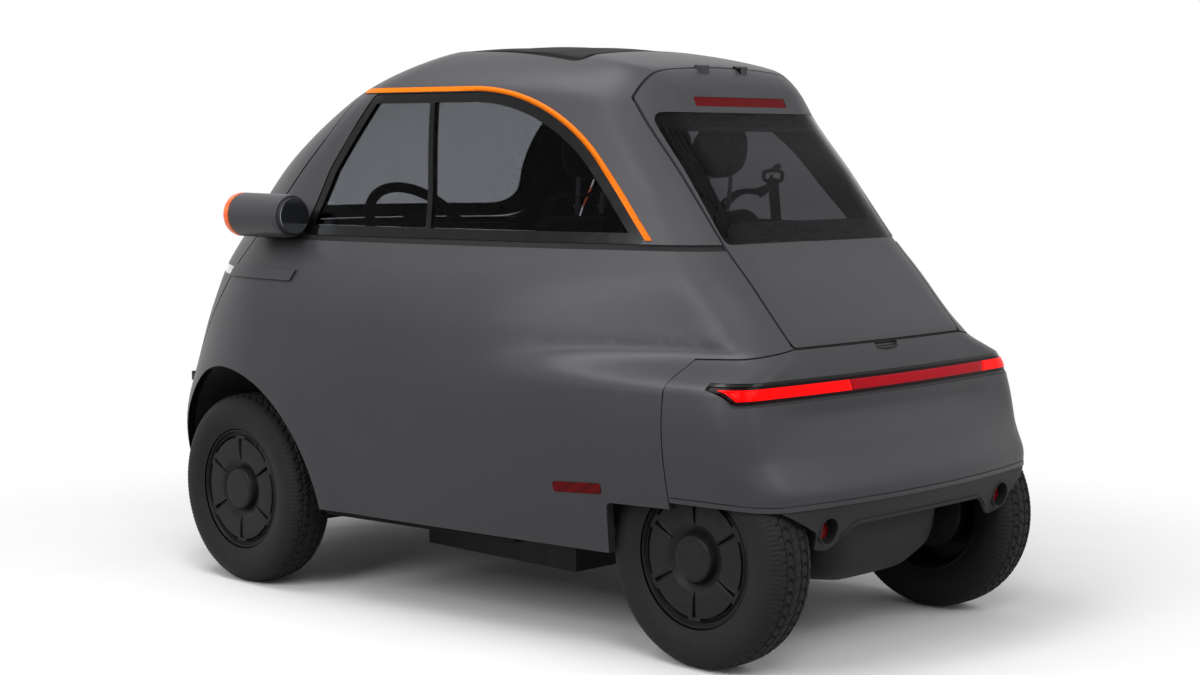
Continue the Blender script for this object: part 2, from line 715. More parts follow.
def tyre_profile():
    """Half of the tyre's outline from its middle to its bead, as (across, radius) in mm."""
    return [(0, 266.0), (8, 266.0), (16, 265.9), (24, 265.6), (32, 265.0), (40, 263.6), (46, 262.0),
            (51, 260.0), (56, 257.0), (60.5, 253.0), (64, 248.5), (67, 243.0), (69.4, 237.0), (71, 230.5),
            (72, 223.0), (72.3, 215.0), (72.1, 207.0), (71, 199.5), (69, 192.0), (66.6, 185.0), (64, 179.0),
            (61.4, 173.5), (60, 169.0)]


def ridge(away, width, slope):
    """1 inside a line of half this width, falling to 0 over its slope."""
    return max(0.0, min(1.0, (width + slope - away) / slope))


def groove_depth(across, turn, pitches, depth):
    """Depth of the tread pattern at a place on the tyre, across in mm, turn in radians."""
    side = abs(across)
    phase = turn / (2 * math.pi) * pitches
    cut = max(ridge(abs(side - 13.0), 1.2, 1.4), ridge(abs(side - 37.0), 1.4, 1.4))
    if side > 50.0:
        fade = min(1.0, (side - 50.0) / 3.0, max(0.0, (69.0 - side) / 4.0))
        rib = abs((phase * 2.5) % 1.0 - 0.5)
        cut = max(cut, 0.20 * fade * ridge(rib, 0.10, 0.2))
    elif side > 38.0:
        slot = abs((phase + side / 60.0) % 1.0 - 0.5)
        cut = max(cut, 0.6 * ridge(slot, 0.05, 0.08))
    elif side > 13.0:
        bend = abs(side - 25.0) / 26.0
        slot = abs((phase + bend) % 1.0 - 0.5)
        sipe = abs((phase + bend + 0.5) % 1.0 - 0.5)
        cut = max(cut, 0.8 * ridge(slot, 0.06, 0.08), 0.4 * ridge(sipe, 0.01, 0.06))
    else:
        slot = abs((phase + across / 44.0) % 1.0 - 0.5)
        cut = max(cut, 0.5 * ridge(slot, 0.03, 0.07))
    return cut * depth


class MICROCAR_OT_tyres(Operator):
    """Builds the four tyres with their tread"""
    bl_idname = "microcar.tyres"
    bl_label = "Tyres"

    def execute(self, context):
        settings = context.scene.microcar_wheels
        half = tyre_profile()
        fine = []
        for (a, ra), (b, rb) in zip(half[:-1], half[1:]):
            parts = max(1, int(math.ceil((b - a) / 2.7))) if ra > 256 else 1
            for k in range(parts):
                fine.append((a + (b - a) * k / parts, ra + (rb - ra) * k / parts))
        fine.append(half[-1])
        outline = [(-x, r) for x, r in fine[:0:-1]] + fine
        pitches = settings.tread_pitches
        steps = pitches * 10
        depth = settings.tread_depth / MM
        for place_name, (side, centre) in WHEELS.items():
            bm = bmesh.new()
            rows = []
            for i in range(steps):
                turn = 2 * math.pi * i / steps
                row = []
                for x, r in outline:
                    cut = groove_depth(x, turn, pitches, depth) if r > 240 else 0.0
                    if 183 < r < 243 and abs(x) > 60:
                        cut -= 0.45 * ridge(abs(r - RIB_R), 0.0, 3.0) + 0.5 * ridge(abs(r - BEAD_R), 0.0, 4.0)
                    inward = 0.0 if abs(x) < 50 else cut * 0.6 * math.copysign(1, x)
                    radius = r - (cut if r > 240 else 0.0)
                    x_now = x - (inward if r <= 262 else 0.0)
                    row.append(centre + Vector((side * x_now * MM, radius * MM * math.cos(turn),
                                                radius * MM * math.sin(turn))))
                rows.append(row)
            add_grid(bm, rows, close_rows=True)
            made = add_piece("tread_" + place_name, bm, finish("tyre"), "wheel_" + place_name,
                             sharp=40.0)
            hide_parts("tyre_" + place_name)
        return {"FINISHED"}


SECTOR = math.pi / 3


def slot_half(radius):
    """Half the width in mm of a slot of the wheel cover, wider towards the rim."""
    return 2.0 + 3.2 * max(0.0, min(1.0, (radius - 84.0) / 54.0))


def cover_height(radius, from_slot, cap):
    """Height of the wheel cover's face in mm: cap, well, plate, slots and rim."""
    if radius < cap - 6:
        height = 9.0
    elif radius < cap:
        height = 9.0 - 4.5 * ((radius - cap + 6) / 6.0) ** 2
    elif radius < cap + 3:
        height = 4.5 - 19.5 * (radius - cap) / 3.0
    elif radius < 84:
        height = -15.0 + 14.0 * (radius - cap - 3) / (81.0 - cap)
    elif radius < 150:
        height = -1.0 + 1.2 * math.sin(math.pi * (radius - 84.0) / 66.0)
    elif radius < 154:
        height = -1.0 - 6.0 * (radius - 150.0) / 4.0
    elif radius < 158:
        height = -7.0
    elif radius < 162:
        height = -7.0 + 9.0 * (radius - 158.0) / 4.0
    else:
        height = 2.0 - 3.0 * ((radius - 162.0) / 6.0) ** 2
    if 80 < radius < 142:
        half = slot_half(radius)
        across = radius * math.sin(from_slot)
        ends = min(1.0, (radius - 80.0) / 5.0, (142.0 - radius) / 3.0)
        height -= 13.0 * ends * ridge(across, half - 1.0, 1.0)
        height += 1.3 * ends * max(0.0, 1 - abs(across - half - 2.0) / 2.0)
    if abs(radius - 146.0) < 3.4 and from_slot > 0.13:
        height -= 13.0 * min(1.0, (3.4 - abs(radius - 146.0)) / 1.0) * min(1.0, (from_slot - 0.13) / 0.018)
    return height


def cover_turns(radius):
    """Angles of one sector's lines from its slot's middle, set so that they follow the slot."""
    reach = max(radius, 62.0)
    half = slot_half(radius)
    near = [math.asin(c / reach) for c in (0.0, half * 0.5, half - 1.0, half, half + 2.0, half + 4.0)]
    arc = [0.13, 0.139, 0.148]
    wide = [0.148 + (SECTOR / 2 - 0.148) * k / 9 for k in range(1, 10)]
    side = near + arc + wide
    return [-a for a in side[:0:-1]] + side[:-1]


class MICROCAR_OT_wheel_covers(Operator):
    """Builds the wheels with their slotted covers, barrels and valves"""
    bl_idname = "microcar.wheel_covers"
    bl_label = "Wheel covers"

    def execute(self, context):
        cap = context.scene.microcar_wheels.cap_radius / MM
        radii = [0.5, 20, 38, cap - 6, cap - 4, cap - 2, cap, cap + 1.5, cap + 3, 64, 69, 75, 80, 82.5, 85]
        radii += [88, 92, 98, 104, 110, 116, 122, 128, 133, 137, 139, 140.5, 142, 142.6, 143.6, 146]
        radii += [148.4, 149.4, 151, 153, 154.5, 156, 158, 159, 160.5, 162, 164, 166, 167.6]
        back = [(52, 167.6), (40, 160), (20, 152), (-20, 150), (-48, 158), (-59, 167.6), (-59, 160),
                (-40, 150), (-16, 142), (16, 142), (34, 140), (36, 30)]
        for place_name, (side, centre) in WHEELS.items():
            columns = []
            for r in radii:
                column = []
                for sector in range(6):
                    for a in cover_turns(r):
                        turn = math.pi / 2 + sector * SECTOR + a
                        x = 56.5 + cover_height(r, abs(a), cap)
                        spot = Vector((side * x, r * math.cos(turn), r * math.sin(turn)))
                        column.append(spot * MM + centre)
                columns.append(column)
            bm = bmesh.new()
            rows = []
            for x, r in back:
                row = []
                for sector in range(6):
                    for a in cover_turns(r):
                        turn = math.pi / 2 + sector * SECTOR + a
                        spot = Vector((side * x, r * math.cos(turn), r * math.sin(turn)))
                        row.append(spot * MM + centre)
                rows.append(row)
            add_grid(bm, columns + rows, close_columns=True)
            made = add_piece("wheel_cover_" + place_name, bm, finish("cover"), "wheel_" + place_name,
                             sharp=30.0)
            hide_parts("wheel_" + place_name)
            bm = bmesh.new()
            stem = centre + Vector((side * 0.046, 0.156 * math.cos(1.05), 0.156 * math.sin(1.05)))
            tip = stem + Vector((side * 0.012, -0.004, -0.006))
            add_tube(bm, smooth_path([stem, stem.lerp(tip, 0.5), tip], 4), 0.0042, 12)
            add_piece("valve_" + place_name, bm, finish("rubber"), "wheel_" + place_name)
        return {"FINISHED"}


class MICROCAR_OT_roof_cloth(Operator):
    """Stretches the folding roof's cloth over its opening, with its hem"""
    bl_idname = "microcar.roof_cloth"
    bl_label = "Roof cloth"

    def execute(self, context):
        trees = surface_of("folding_roof")
        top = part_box("folding_roof")[1].z
        half_x = 0.3235
        y_front = -0.2105
        y_rear = 0.3935
        middle_y = (y_front + y_rear) / 2
        half_y = (y_rear - y_front) / 2
        corner = 0.040

        def drop(u, v, lift):
            x = u * half_x
            y = v * half_y
            over_x = abs(x) - (half_x - corner)
            over_y = abs(y) - (half_y - corner)
            if over_x > 0 and over_y > 0 and math.hypot(over_x, over_y) > corner:
                pull = corner / math.hypot(over_x, over_y)
                x = math.copysign(half_x - corner + over_x * pull, x)
                y = math.copysign(half_y - corner + over_y * pull, y)
            found = hit(trees, (x * 0.998, middle_y + y * 0.998, top + 0.2), (0, 0, -1))
            if not found:
                raise RuntimeError("the roof cloth misses its packed solid")
            bow = math.cos(v * 4 * math.pi) * 0.5 - 0.5
            inside = min(1.0, (1 - abs(u)) / 0.12) * min(1.0, (1 - abs(v)) / 0.12)
            z = found[0].z + lift + 0.0022 * bow * inside
            return Vector((x, middle_y + y, z))

        bm = bmesh.new()
        rows = []
        for i in range(73):
            v = -1 + 2 * i / 72
            rows.append([drop(-1 + 2 * j / 72, v, 0.0012) for j in range(73)])
        add_grid(bm, rows)
        cloth = add_piece("roof_cloth", bm, finish("canvas"), "body", sharp=60.0)
        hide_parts("folding_roof")
        bm = bmesh.new()
        for inset, radius in ((0.965, 0.0016), (0.94, 0.0012)):
            ring = []
            for i in range(200):
                a = 4.0 * i / 200
                s = a % 1.0
                u, v = ((-1 + 2 * s, -1), (1, -1 + 2 * s), (1 - 2 * s, 1), (-1, 1 - 2 * s))[int(a) % 4]
                ring.append(drop(u * inset, v * inset, 0.0016))
            add_tube(bm, ring, radius, 6, closed=True)
        hem = add_piece("roof_cloth_hem", bm, finish("canvas"), "body")
        return {"FINISHED"}


def stuffed(name, bm, voxel, cap, quick):
    """Fills a closed form by a pressure simulation and returns its mesh object, unparented."""
    mesh = bpy.data.meshes.new(name)
    bm.to_mesh(mesh)
    bm.free()
    made = bpy.data.objects.new(name, mesh)
    scene = bpy.context.scene
    scene.collection.objects.link(made)
    remesh = made.modifiers.new("remesh", "REMESH")
    remesh.mode = "VOXEL"
    remesh.voxel_size = voxel
    settle(made)
    if not quick:
        rest = [v.co.copy() for v in made.data.vertices]
        cloth = made.modifiers.new("fill", "CLOTH")
        cloth.settings.quality = 4
        cloth.settings.mass = 0.3
        cloth.settings.tension_stiffness = 12
        cloth.settings.compression_stiffness = 12
        cloth.settings.bending_stiffness = 1.5
        cloth.settings.use_pressure = True
        cloth.settings.uniform_pressure_force = 4.0
        cloth.settings.effector_weights.gravity = 0.0
        cloth.point_cache.frame_start = 1
        cloth.point_cache.frame_end = 20
        for step in range(1, 21):
            scene.frame_set(step)
        settle(made)
        scene.frame_set(1)
        for vertex, before in zip(made.data.vertices, rest):
            move = vertex.co - before
            if move.length > cap:
                vertex.co = before + move.normalized() * cap
    return made


def settle(made):
    """Makes what the modifiers show the piece's own mesh."""
    bpy.context.view_layer.update()
    graph = bpy.context.evaluated_depsgraph_get()
    mesh = bpy.data.meshes.new_from_object(made.evaluated_get(graph))
    made.modifiers.clear()
    made.data = mesh


def upholster(made, channels, depth, limits):
    """Subdivides a filled cushion, sinks its sewn channels, keeps it in its room and dresses it."""
    smooth = made.modifiers.new("smooth", "SUBSURF")
    smooth.levels = 1
    smooth.render_levels = 1
    settle(made)
    low, high = limits
    for vertex in made.data.vertices:
        co = vertex.co
        sink = 0.0
        for axis, value, span, facing in channels:
            if facing(co):
                away = abs(co[axis] - value)
                if away < span:
                    sink = max(sink, depth * (0.5 + 0.5 * math.cos(math.pi * away / span)))
        if sink:
            vertex.co = co - vertex.normal * sink
        for k in range(3):
            vertex.co[k] = min(max(vertex.co[k], low[k]), high[k])
    made.data.materials.clear()
    made.data.materials.append(finish("seat"))
    for face in made.data.polygons:
        face.use_smooth = True
    return made


class MICROCAR_OT_seats(Operator):
    """Fills the bench, backrest and head restraints, and adds the restraints' rods"""
    bl_idname = "microcar.seats"
    bl_label = "Seats"

    def execute(self, context):
        depth = context.scene.microcar_seat.channel_depth
        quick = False
        low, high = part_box("seat_cushion")
        bm = bmesh.new()
        outline = [(-0.236, 0.452), (0.234, 0.452), (0.200, 0.546), (-0.205, 0.566), (-0.246, 0.535)]
        rows = []
        for x in (-0.512, -0.49, -0.25, 0.0, 0.25, 0.49, 0.512):
            shrink = 0.93 if abs(x) > 0.5 else 1.0
            mid = Vector((0.0, 0.505))
            rows.append([(x, mid.x + (y - mid.x) * shrink, mid.y + (z - mid.y) * shrink) for y, z in outline])
        verts = add_grid(bm, rows, close_columns=True)
        bm.faces.new(verts[0][::-1])
        bm.faces.new(verts[-1])
        cushion = stuffed("bench_cushion", bm, 0.014, 0.014, quick)
        on_top = (lambda co: co.z > 0.50)
        channels = [(0, value, 0.016, on_top) for value in (-0.36, -0.24, -0.12, 0.12, 0.24, 0.36)]
        channels += [(0, 0.0, 0.03, on_top), (1, -0.17, 0.014, on_top)]
        upholster(cushion, channels, depth, (low, high))
        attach(cushion, "body")
        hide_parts("seat_cushion")

        bm = bmesh.new()
        outline = [(0.262, 0.46), (0.372, 0.46), (0.384, 1.045), (0.338, 1.065), (0.306, 1.045),
                   (0.226, 0.575)]
        rows = []
        for x in (-1.0, -0.95, -0.5, 0.0, 0.5, 0.95, 1.0):
            row = []
            for y, z in outline:
                half = 0.485 if z < 0.86 else 0.485 - 0.07 * (z - 0.86) / 0.2
                mid_y = 0.30 + (z - 0.46) * 0.09
                shrink = 0.8 if abs(x) == 1.0 else 1.0
                row.append((x * half, mid_y + (y - mid_y) * shrink, z))
            rows.append(row)
        verts = add_grid(bm, rows, close_columns=True)
        bm.faces.new(verts[0][::-1])
        bm.faces.new(verts[-1])
        low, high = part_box("seat_backrest")
        back = stuffed("bench_backrest", bm, 0.014, 0.016, quick)
        in_front = (lambda co: co.y < 0.225 + (co.z - 0.575) * 0.17 + 0.03)
        channels = [(0, value, 0.016, in_front) for value in (-0.36, -0.24, -0.12, 0.12, 0.24, 0.36)]
        channels += [(0, 0.0, 0.03, in_front), (2, 0.78, 0.016, in_front)]
        upholster(back, channels, depth, (low, high))
        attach(back, "body")
        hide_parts("seat_backrest")

        for side, label in ((1, "left"), (-1, "right")):
            bm = bmesh.new()
            rows = []
            for i in range(13):
                u = -math.cos(math.pi * i / 12) * 0.995
                tall = 0.078 * (1 - abs(u) ** 2.6) ** (1 / 2.6)
                deep = 0.036 * (1 - abs(u) ** 3.2) ** (1 / 3.2)
                row = []
                for k in range(16):
                    a = 2 * math.pi * k / 16
                    across = math.copysign(abs(math.cos(a)) ** 0.7, math.cos(a))
                    rise = math.copysign(abs(math.sin(a)) ** 0.8, math.sin(a))
                    z = 1.216 + tall * rise
                    row.append((side * 0.255 + 0.097 * u, 0.364 + deep * across + (z - 1.216) * 0.08, z))
                rows.append(row)
            verts = add_grid(bm, rows, close_columns=True)
            bm.faces.new(verts[0][::-1])
            bm.faces.new(verts[-1])
            rest = stuffed("head_restraint_" + label, bm, 0.007, 0.009, quick)
            edge = (lambda co: True)
            upholster(rest, [(0, side * 0.255, 0.010, edge)], depth * 0.4,
                      ((-0.4, 0.322, 1.128), (0.4, 0.408, 1.300)))
            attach(rest, "body")
            bm = bmesh.new()
            for offset in (-0.045, 0.045):
                x = side * 0.255 + offset
                rod = [Vector((x, 0.356, 1.05)), Vector((x, 0.359, 1.1)), Vector((x, 0.362, 1.15))]
                add_tube(bm, rod, 0.006, 14)
                add_tube(bm, [Vector((x, 0.356, 1.066)), Vector((x, 0.357, 1.074))], 0.011, 14)
            add_piece("head_restraint_rods_" + label, bm, finish("zinc"), "body")
        return {"FINISHED"}


class MICROCAR_OT_belts(Operator):
    """Hangs a three-point belt beside each seat, with its guide, tongue and buckle"""
    bl_idname = "microcar.belts"
    bl_label = "Seat belts"

    def execute(self, context):
        walls = surface_of("side_glass", "roof_shell", "window_frames")
        for side, label, y in ((1, "left", 0.58), (-1, "right", 0.40)):
            found = hit(walls, (0.0, y, 1.136), (side, 0, 0))
            if not found:
                raise RuntimeError("no wall beside the belt's guide")
            guide = Vector((found[0].x - side * 0.030, y, 1.136))
            foot = Vector((side * 0.500, y + 0.01, 0.598))
            shoulder = Vector((side * 0.385, 0.395, 1.098))
            bm = bmesh.new()
            add_strap(bm, [guide, guide.lerp(foot, 0.3), guide.lerp(foot, 0.7), foot],
                      WEBBING_WIDTH, WEBBING_THICK, (-side, -0.2, 0))
            add_strap(bm, [guide, guide.lerp(shoulder, 0.55) - Vector((0, 0, 0.012)), shoulder,
                           (side * 0.365, 0.33, 1.092), (side * 0.345, 0.272, 1.02),
                           (side * 0.29, 0.238, 0.86), (side * 0.19, 0.200, 0.70),
                           (side * 0.075, 0.165, 0.612)],
                      WEBBING_WIDTH, WEBBING_THICK, (0.0, -0.8, 0.6))
            add_piece("belt_" + label, bm, finish("webbing"), "body")
            bm = bmesh.new()
            loop = []
            for k in range(24):
                a = 2 * math.pi * k / 24
                along = 0.034 * math.copysign(abs(math.cos(a)) ** 0.6, math.cos(a))
                rise = 0.015 * math.copysign(abs(math.sin(a)) ** 0.6, math.sin(a))
                loop.append(guide + Vector((0, along, rise + 0.006)))
            add_tube(bm, loop, 0.0055, 10, closed=True, up=(1, 0, 0))
            add_tube(bm, [guide + Vector((0, 0, 0.022)), guide + Vector((side * 0.016, 0, 0.032)),
                          guide + Vector((side * 0.028, 0, 0.034))], 0.008, 12)
            add_block(bm, Vector((side * 0.060, 0.155, 0.600)), (0.030, 0.052, 0.062), 0.007,
                      turn=Matrix.Rotation(side * -0.35, 4, "Z"))
            add_block(bm, foot, (0.040, 0.060, 0.018), 0.005)
            add_piece("belt_fittings_" + label, bm, finish("abs"), "body")
            bm = bmesh.new()
            add_block(bm, Vector((side * 0.082, 0.163, 0.630)), (0.022, 0.004, 0.036), 0.0015,
                      turn=Matrix.Rotation(0.5, 4, "X"))
            add_piece("belt_tongue_" + label, bm, finish("zinc"), "body")
        return {"FINISHED"}


class MICROCAR_OT_lamps(Operator):
    """Adds the tail lamp's lit ends, the front lamps' rings, glasses and reflectors"""
    bl_idname = "microcar.lamps"
    bl_label = "Lamps"

    def execute(self, context):
        trees = surface_of("tail_lamp")
        parts = (("tail_light_left", 0.172, 0.546, 1, "red_bright"),
                 ("tail_light_right", 0.400, 0.546, -1, "red_bright"),
                 ("tail_light_middle", 0.3985, 0.1705, 0, "red_middle"))
        for name, start, end, side, key in parts:
            bm = bmesh.new()
            rows = []
            for k in range(81):
                row = []
                for z in (LENS_LOW, 0.6495, 0.654, 0.659, 0.664, 0.669, 0.6727, LENS_HIGH):
                    lean = (z - LENS_LOW) / 0.0248 * 0.014
                    if side:
                        x = side * (start + lean * 0.3 + (end + lean - start - lean * 0.3) * k / 80)
                    else:
                        x = -start - lean * 0.3 + (start + end + lean * 0.6) * k / 80
                    found = hit(trees, (x, 1.5, z), (0, -1, 0)) or hit(trees, (x * 0.98, 1.5, z), (0, -1, 0))
                    edge = 0.0 if z in (LENS_LOW, LENS_HIGH) or k in (0, 80) else 1.0
                    row.append(found[0] + found[1] * (0.0002 + 0.0014 * edge))
                rows.append(row)
            add_grid(bm, rows)
            add_piece(name, bm, finish(key), "body", sharp=60.0)
        for side, label in ((1, "left"), (-1, "right")):
            centre = Vector((side * POD.x, POD.y, POD.z))
            ahead = Matrix.Translation(centre) @ Matrix.Rotation(math.radians(90), 4, "Z")
            bm = bmesh.new()
            profile = [(0.0218, 0.0470), (0.0218, 0.0585), (0.0205, 0.0596), (0.010, 0.0598),
                       (0.0045, 0.0588), (0.0014, 0.0560), (0.0002, 0.0520), (0.0010, 0.0490),
                       (0.0045, 0.0474)]
            add_lathe(bm, profile, ahead, 96, closed=True)
            ring = add_piece("front_lamp_ring_" + label, bm, finish("amber"), "body")
            bm = bmesh.new()
            glass = [(0.0022, 0.0005), (0.0024, 0.020), (0.0032, 0.036), (0.0048, 0.0472), (0.0072, 0.0472),
                     (0.0056, 0.036), (0.0046, 0.020), (0.0044, 0.0005)]
            add_lathe(bm, glass, ahead, 72)
            add_piece("front_lamp_glass_" + label, bm, finish("clear"), "body")
            bm = bmesh.new()
            bowl = [(0.0205, 0.0008), (0.0205, 0.010), (0.0190, 0.014), (0.0196, 0.024), (0.0170, 0.034),
                    (0.0105, 0.044), (0.0085, 0.0466)]
            add_lathe(bm, bowl, ahead, 72)
            add_piece("front_lamp_bowl_" + label, bm, finish("reflector"), "body")
            if side > 0:
                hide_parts("pod_lenses")
        return {"FINISHED"}


class MICROCAR_OT_glazing(Operator):
    """Adds the black print round the rear glass and the screen"""
    bl_idname = "microcar.glazing"
    bl_label = "Glazing"

    def execute(self, context):
        self.frit("rear_glass_print", "rear_glass", "tailgate", (0, -1, 0), 1.6,
                  [(-0.331, 0.9915), (0.331, 0.9915), (0.3205, 1.3085), (-0.3205, 1.3085)],
                  [(-0.283, 1.034), (0.283, 1.034), (0.272, 1.272), (-0.272, 1.272)], (0.03, 0.055))
        self.frit("screen_print", "windscreen", "front_door", (0, 1, 0), -1.6,
                  [(-0.555, 1.003), (0.555, 1.003), (0.412, 1.397), (-0.412, 1.397)],
                  [(-0.505, 1.045), (0.505, 1.045), (0.375, 1.365), (-0.375, 1.365)], (0.06, 0.05))
        return {"FINISHED"}

    def frit(self, name, node, body, direction, start_y, outer, inner, radii):
        """A thin printed border just inside a pane, between two outlines seen from outside."""
        trees = surface_of(node)
        outer_path = rounded_path(outer, radii[0])
        inner_path = rounded_path(inner, radii[1])
        count = len(outer_path)
        middle = sum(inner_path, Vector((0.0, 0.0))) / len(inner_path)
        bm = bmesh.new()
        rows = []
        for i in range(count):
            a0 = outer_path[i]
            a1 = outer_path[(i + 1) % count]
            b0 = inner_path[i]
            b1 = inner_path[(i + 1) % count]
            parts = max(1, int((a1 - a0).length / 0.02))
            for k in range(parts):
                a = a0.lerp(a1, k / parts)
                b = b0.lerp(b1, k / parts)
                row = []
                for s in range(5):
                    p = a.lerp(b, s / 4)
                    found = None
                    for pull in range(8):
                        q = p.lerp(middle, pull * 0.008)
                        found = found or self.inner_side(trees, (q.x, start_y, q.y), direction)
                    if found is None:
                        raise RuntimeError(name + " misses its pane")
                    row.append(found)
                rows.append(row)
        add_grid(bm, rows, close_rows=True)
        add_piece(name, bm, finish("gloss"), body, sharp=70.0)

    def inner_side(self, trees, start, direction):
        """The pane's inner face along a ray, 0.4 mm below it."""
        first = hit(trees, start, direction)
        if not first:
            return None
        second = hit(trees, first[0] + Vector(direction) * 0.001, direction)
        place_at = second[0] if second else first[0] + Vector(direction) * 0.005
        return place_at + Vector(direction) * 0.0004


class MICROCAR_OT_trim(Operator):
    """Adds reflector rims, skirt bead, undershield and the tailgate's handle bowl and seal"""
    bl_idname = "microcar.trim"
    bl_label = "Outer trim"

    def execute(self, context):
        skirt = surface_of("rear_skirt")
        bm = bmesh.new()
        for side in (-1, 1):
            centre = Vector((side * 0.354, 0, 0.343))
            ring = []
            for k in range(48):
                a = 2 * math.pi * k / 48
                x = centre.x + 0.0325 * math.cos(a)
                z = centre.z + 0.0325 * math.sin(a)
                found = hit(skirt, (x, 1.5, z), (0, -1, 0))
                if found:
                    ring.append(found[0] + Vector((0, 0.0002, 0)))
            add_tube(bm, ring, 0.0022, 8, closed=True, up=(0, 1, 0))
        add_piece("reflector_rims", bm, finish("abs"), "body")
        bumper = surface_of("rear_bumper", "tailgate_shell")
        bm = bmesh.new()
        rows = []
        for i in range(25):
            x = -0.0455 + 0.091 * i / 24
            row = []
            for k in range(6):
                z = 0.742 - 0.010 * k / 5 * math.sqrt(max(0.0, 1 - (x / 0.046) ** 2))
                found = hit(bumper, (x, 1.6, z), (0, -1, 0))
                row.append(found[0] + found[1] * 0.0006)
            rows.append(row)
        add_grid(bm, rows)
        add_piece("tailgate_handle", bm, finish("rubber"), "body", sharp=60.0)
        self.hatch_seal()
        self.skirt_beads(skirt)
        self.undershield()
        self.widen_strips()
        return {"FINISHED"}

    def hatch_seal(self):
        """A rubber seal that closes the gap under the tailgate's lower edge from inside."""
        bumper = surface_of("rear_bumper", "body_side_left", "body_side_right")
        path = []
        for i in range(61):
            x = -0.338 + 0.676 * i / 60
            found = hit(bumper, (x, 1.6, HATCH_FOOT - 0.012), (0, -1, 0))
            if found:
                path.append(Vector((x, found[0].y - 0.020, HATCH_FOOT)))
        bm = bmesh.new()
        add_tube(bm, path, 0.0085, 10)
        add_piece("tailgate_seal", bm, finish("rubber"), "body")

    def skirt_beads(self, skirt):
        """A moulded bead that follows the skirt's lower edge."""
        bm = bmesh.new()
        low = []
        for i in range(121):
            x = -0.30 + 0.60 * i / 120
            edge = None
            for k in range(60):
                z = 0.29 + 0.0018 * k
                found = hit(skirt, (x, 1.6, z), (0, -1, 0))
                if found:
                    edge = hit(skirt, (x, 1.6, z + 0.007), (0, -1, 0)) or found
                    break
            if edge:
                low.append(edge[0] + edge[1] * 0.0006)
        add_tube(bm, low, 0.0032, 8, up=(0, 1, 0))
        add_piece("skirt_bead", bm, finish("abs"), "body")

    def undershield(self):
        """A moulded shield under the drive, open at its top."""
        sections = ((0.735, 0.20, 0.335), (0.765, 0.225, 0.265), (0.82, 0.24, 0.205), (0.90, 0.245, 0.172),
                    (1.00, 0.245, 0.160), (1.07, 0.24, 0.168), (1.115, 0.225, 0.205), (1.135, 0.20, 0.265),
                    (1.142, 0.18, 0.335))
        bm = bmesh.new()
        borders = []
        for shell in (0.0, 0.003):
            rows = []
            for y, half, low in sections:
                row = []
                for k in range(33):
                    a = math.pi * k / 32
                    x = -(half - shell) * math.copysign(abs(math.cos(a)) ** 0.45, math.cos(a))
                    z = 0.385 - (0.385 - low - shell) * math.sin(a) ** 0.5
                    row.append((x, y - shell * (y - 0.94) * 3, z))
                rows.append(row)
            made = add_grid(bm, rows)
            borders.append(made[0] + [row[-1] for row in made[1:-1]] + made[-1][::-1]
                           + [row[0] for row in made[-2:0:-1]])
        outer, inner = borders
        for k in range(len(outer)):
            n = (k + 1) % len(outer)
            bm.faces.new((outer[k], outer[n], inner[n], inner[k]))
        bmesh.ops.recalc_face_normals(bm, faces=bm.faces[:])
        add_piece("rear_undershield", bm, finish("abs"), "body", sharp=50.0)

    def widen_strips(self):
        """Rounds the lacquered strips out a little past their packed width."""
        strips = NODES["window_strips"]
        weld = strips.modifiers.new("join", "WELD")
        weld.merge_threshold = 0.00005
        swell = strips.modifiers.new("swell", "DISPLACE")
        swell.mid_level = 0.0
        swell.strength = 0.0016


